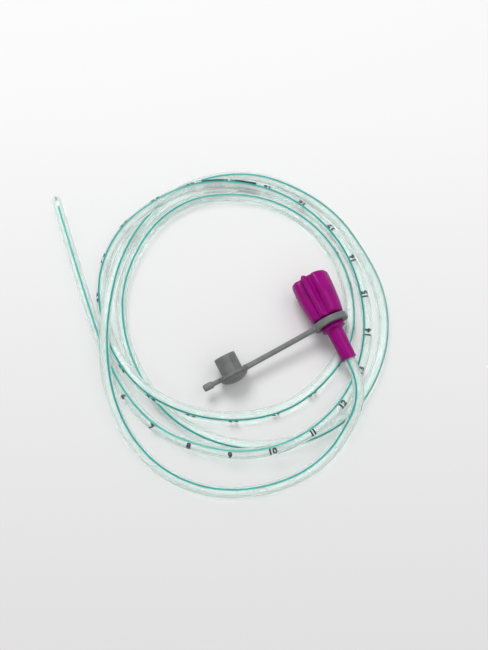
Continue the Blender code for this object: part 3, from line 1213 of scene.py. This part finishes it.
    def build(self, plastic: bpy.types.Material) -> list[bpy.types.Object]:
        """Make the connector's pieces.

        Args:
            plastic: Its finish.

        Returns:
            The pieces.
        """
        moulding = new_piece("connector_moulding", self.shell(), plastic, Body.SET)
        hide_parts("connector")
        return [moulding, new_piece("collar_thread", self.thread(), plastic, Body.SET)]


@dataclass
class TetheredCap:
    """The grey cap: a ring round the neck, a strap, a domed disc with a hollow drum, and a pull tab."""

    connector: Connector
    at: Vector = field(default_factory=lambda: Vector((-11.115 * MM, -10.721 * MM, 3.9 * MM)))
    heading: float = math.radians(117.6)
    lift: float = math.radians(9.0)
    ring_from_mouth: float = 12.3 * MM
    ring_half: float = 0.775 * MM
    ring_hole: float = 2.9 * MM
    ring_radius: float = 4.35 * MM
    disc_radius: float = 3.9 * MM
    disc_half: float = 0.45 * MM
    dome: float = 1.7 * MM
    drum_radius: float = 2.7 * MM
    drum_length: float = 4.9 * MM
    drum_bore: float = 2.2 * MM
    groove_turn: float = 24.0
    groove_half_deg: float = 5.0
    groove_depth: float = 0.22 * MM
    groove_stop: float = 0.7 * MM
    ring_edge: float = 0.12 * MM
    dome_inset: float = 0.35 * MM
    drum_floor: float = 0.9 * MM
    tab_half: float = 0.86 * MM
    strap_sag: float = 0.25 * MM
    strap_into_ring: float = 0.5 * MM
    strap_into_disc: float = 0.9 * MM
    tab_into_disc: float = 0.8 * MM
    strap_half_wide: float = 0.62 * MM
    strap_half_high: float = 0.62 * MM

    def _grooved(self, radius: float, height: float, turn: float) -> float:
        """Let the shallow groove into the drum's side.

        Args:
            radius: The radius without it.
            height: The distance from the disc's middle.
            turn: The angle round the drum.

        Returns:
            The radius.
        """
        if abs(radius - self.drum_radius) > 1e-6 or height >= self.drum_length - self.groove_stop:
            return radius
        off = (math.degrees(turn) - self.groove_turn + 180.0) % 360.0 - 180.0
        return radius - self.groove_depth * max(0.0, 1.0 - (off / self.groove_half_deg) ** 4)

    def _ring(self, around: int = 96) -> bpy.types.Mesh:
        """Make the ring that swivels on the neck.

        Args:
            around: Points in a circle.

        Returns:
            The ring's mesh.
        """
        half, hole, rim, edge = self.ring_half, self.ring_hole, self.ring_radius, self.ring_edge
        outline = rounded([(hole, 0.0, 0.0), (hole, half, edge), (rim, half, edge), (rim, -half, edge),
                           (hole, -half, edge), (hole, -0.01 * MM, 0.0)])
        turns = [2 * math.pi * step / around for step in range(around)]
        rows = [(radius * math.cos(t), radius * math.sin(t), height)
                for radius, height in outline for t in turns]
        faces = ring_faces(len(outline), around, Ends.LOOPED)
        return solid_mesh("tether_ring", placed(rows, self.connector.axis(self.ring_from_mouth)), faces, 38.0)

    def _cap(self, around: int = 144) -> bpy.types.Mesh:
        """Make the domed disc with its drum.

        Args:
            around: Points in a circle.

        Returns:
            The disc's mesh.
        """
        rim, half, drum, top = self.disc_radius, self.disc_half, self.drum_radius, self.drum_length
        middle = 0.02 * MM
        outline = [(middle, -half - self.dome)]
        outline += [((rim - self.dome_inset) * math.sin(t), -half - self.dome * math.cos(t) ** 1.05)
                    for t in np.linspace(0.1, math.pi / 2, 12)]
        outline += rounded([
            (rim - 0.3 * MM, -half, 0.0), (rim, -half + 0.12 * MM, 0.15 * MM), (rim, half, 0.14 * MM),
            (drum + 0.02 * MM, half, 0.0)])[1:]
        outline += [(drum, height) for height in (half + 0.12 * MM, half + 0.3 * MM, 2.2 * MM,
                                                  top - 0.95 * MM, top - 0.69 * MM)]
        outline.append((drum - 0.001 * MM, top - 0.6 * MM))
        outline += rounded([
            (drum, top - 0.5 * MM, 0.0), (drum, top, 0.24 * MM), (self.drum_bore, top, 0.12 * MM),
            (self.drum_bore, self.drum_floor, 0.3 * MM), (middle, self.drum_floor, 0.0)])[1:]
        rows = []
        for radius, height in outline:
            for step in range(around):
                turn = 2 * math.pi * step / around
                reach = self._grooved(radius, height, turn)
                rows.append((reach * math.cos(turn), reach * math.sin(turn), height))
        frame = facing(self.at, self.heading, self.lift)
        faces = ring_faces(len(outline), around, Ends.CAPPED)
        return solid_mesh("cap_disc", placed(rows, frame), faces, 38.0)

    def _strap(self) -> list[bpy.types.Mesh]:
        """Make the strap with the block at its ring.

        Returns:
            The strap and its block.
        """
        along = Vector((math.cos(self.connector.heading), math.sin(self.connector.heading), 0.0))
        outward = Vector((math.sin(self.connector.heading), -math.cos(self.connector.heading), 0.0))
        across = Vector((math.sin(self.heading), -math.cos(self.heading), 0.0))
        ring = self.connector.along(self.ring_from_mouth)
        start = ring + outward * (self.ring_radius - self.strap_into_ring)
        end = self.at + across * (self.disc_radius - self.strap_into_disc)
        run = end - start
        side = run.cross(UP).normalized()
        up = side.cross(run).normalized()
        sections = []
        for t in np.linspace(0.0, 1.0, 25):
            sag = 4 * t * (1 - t) * self.strap_sag
            neck = 1.0 + 0.18 * math.exp(-(t / 0.07) ** 2) + 0.22 * math.exp(-((1 - t) / 0.05) ** 2)
            sections.append((start + run * float(t) - UP * sag, self.strap_half_wide * neck,
                             self.strap_half_high * neck))
        bar = lofted("strap", sections, side, up, 5.0)
        block = lofted("junction", [
            (start - outward * 0.5 * MM, 0.7 * MM, 0.95 * MM),
            (start + outward * 0.55 * MM, 0.72 * MM, 1.0 * MM),
            (start + outward * 0.95 * MM, 0.7 * MM, 0.92 * MM),
            (start + outward * 1.15 * MM, 0.55 * MM, 0.75 * MM),
        ], along, UP, 4.0)
        return [bar, block]

    def _tab(self) -> bpy.types.Mesh:
        """Make the pull tab: a short neck and a barrel.

        Returns:
            The tab's mesh.
        """
        across = Vector((math.sin(self.heading), -math.cos(self.heading), 0.0))
        along = Vector((math.cos(self.heading), math.sin(self.heading), 0.0))
        start = self.at - across * (self.disc_radius - self.tab_into_disc)
        shape = ((0.0, 0.72), (0.9, 0.66), (1.6, 0.66), (2.1, 0.66), (2.3, 0.7), (2.42, 0.86), (2.62, 0.96),
                 (3.2, 1.0), (4.2, 1.0), (4.6, 0.94), (4.8, 0.78), (4.88, 0.5))
        sections = [(start - across * reach * MM, self.tab_half * wide, self.tab_half * wide)
                    for reach, wide in shape]
        return lofted("pull_tab", sections, along, UP, 2.8)

    def build(self, plastic: bpy.types.Material) -> list[bpy.types.Object]:
        """Make the cap as one moulding.

        Args:
            plastic: Its finish.

        Returns:
            The piece.
        """
        solids = [self._ring(), self._cap(), *self._strap(), self._tab()]
        mesh = joined("cap_moulding", solids, Joining.WELD, 38.0)
        cap = new_piece("cap_moulding", mesh, plastic, Body.TETHER)
        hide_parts("tethered_cap")
        return [cap]


@dataclass
class Studio:
    """The camera, the pale floor and the soft lamps."""

    camera_at: tuple[float, float, float] = (-0.008515, -0.046717, 0.168926)
    camera_tilt: float = math.radians(16.3)
    focal_pixels: float = 700.0
    frame_pixels: float = 650.0
    sensor: float = 36.0
    floor_half: float = 1.5
    world_strength: float = 0.52

    def camera(self) -> bpy.types.Object:
        """Place the camera where the photograph was taken.

        Returns:
            The camera.
        """
        data = bpy.data.cameras.new("camera")
        data.sensor_width = self.sensor
        data.lens = self.focal_pixels * self.sensor / self.frame_pixels
        data.clip_start = 0.005
        data.clip_end = 20.0
        made = linked("camera", data)
        made.location = self.camera_at
        made.rotation_euler = (self.camera_tilt, 0.0, 0.0)
        bpy.context.scene.camera = made
        return made

    def floor(self, painted_shade_paper: bpy.types.Material) -> bpy.types.Object:
        """Lay the floor.

        Args:
            painted_shade_paper: Its finish.

        Returns:
            The floor.
        """
        half = self.floor_half
        corners = np.array([(-half, -half, 0.0), (half, -half, 0.0), (half, half, 0.0),
                            (-half, half, 0.0)])
        mesh = mesh_of("floor", corners, [(0, 1, 2, 3)], soft=False)
        mesh.materials.append(painted_shade_paper)
        made = linked("floor", mesh)
        return made

    @staticmethod
    def lamp(name: str, at: tuple[float, float, float], size: float, power: float) -> bpy.types.Object:
        """Hang a square soft lamp that looks at the object.

        Args:
            name: The lamp's name.
            at: Where it hangs.
            size: The length of its side.
            power: Its power in watts.

        Returns:
            The lamp.
        """
        data = bpy.data.lights.new(name, "AREA")
        data.shape = "SQUARE"
        data.size = size
        data.energy = power
        made = linked(name, data)
        made.location = at
        made.rotation_euler = (-Vector(at)).to_track_quat("-Z", "Y").to_euler()
        return made

    def light(self) -> None:
        """Set the world and the lamps."""
        world = bpy.data.worlds.new("studio")
        world.use_nodes = True
        back = world.node_tree.nodes["Background"]
        back.inputs["Color"].default_value = (1.0, 1.0, 1.0, 1.0)
        back.inputs["Strength"].default_value = self.world_strength
        bpy.context.scene.world = world
        self.lamp("key", (-0.22, 0.50, 0.80), 0.42, 4.6)
        self.lamp("fill", (0.50, 0.10, 0.80), 0.60, 1.3)


def main() -> None:
    """Build the scene in order."""
    logging.basicConfig(level=logging.INFO, format="%(message)s")
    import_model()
    scene = bpy.context.scene
    scene.view_settings.view_transform = "Standard"

    studio = Studio()
    studio.camera()

    connector = Connector()
    route = Route(connector.along(connector.stem_end - connector.socket_depth + SOCKET_GAP),
                  connector.along(connector.stem_end + EXIT_RUN))
    LOG.info("centreline %.1f mm", route.length / MM)

    clear = ClearPlastic("clear_tube", (0.865, 0.918, 0.90, 1.0), (0.895, 0.935, 0.92, 1.0)).build()
    teal = MouldedPlastic("teal_line", linear(34, 160, 152), linear(44, 176, 166), 0.25, 0.4).build()
    ink = MouldedPlastic("print_ink", linear(16, 20, 34), linear(30, 34, 48), 0.35, 0.55).build()
    magenta = MouldedPlastic("connector_plastic", linear(142, 0, 112), linear(156, 0, 126), 0.18, 0.27,
                             specular=0.16).build()
    grey = MouldedPlastic("cap_plastic", linear(104, 107, 107), linear(120, 123, 121), 0.42, 0.58).build()
    # The floor's near colour is painted shade, darker than the far one.
    painted_shade_paper = PaperFloor("painted_shade_paper", (0.78, 0.775, 0.78, 1.0), (0.90, 0.90, 0.90, 1.0)).build()

    ClearTube(route).build(clear, teal, ink)
    connector.build(magenta)
    TetheredCap(connector).build(grey)
    studio.floor(painted_shade_paper)
    studio.light()


if __name__ == "__main__":
    main()
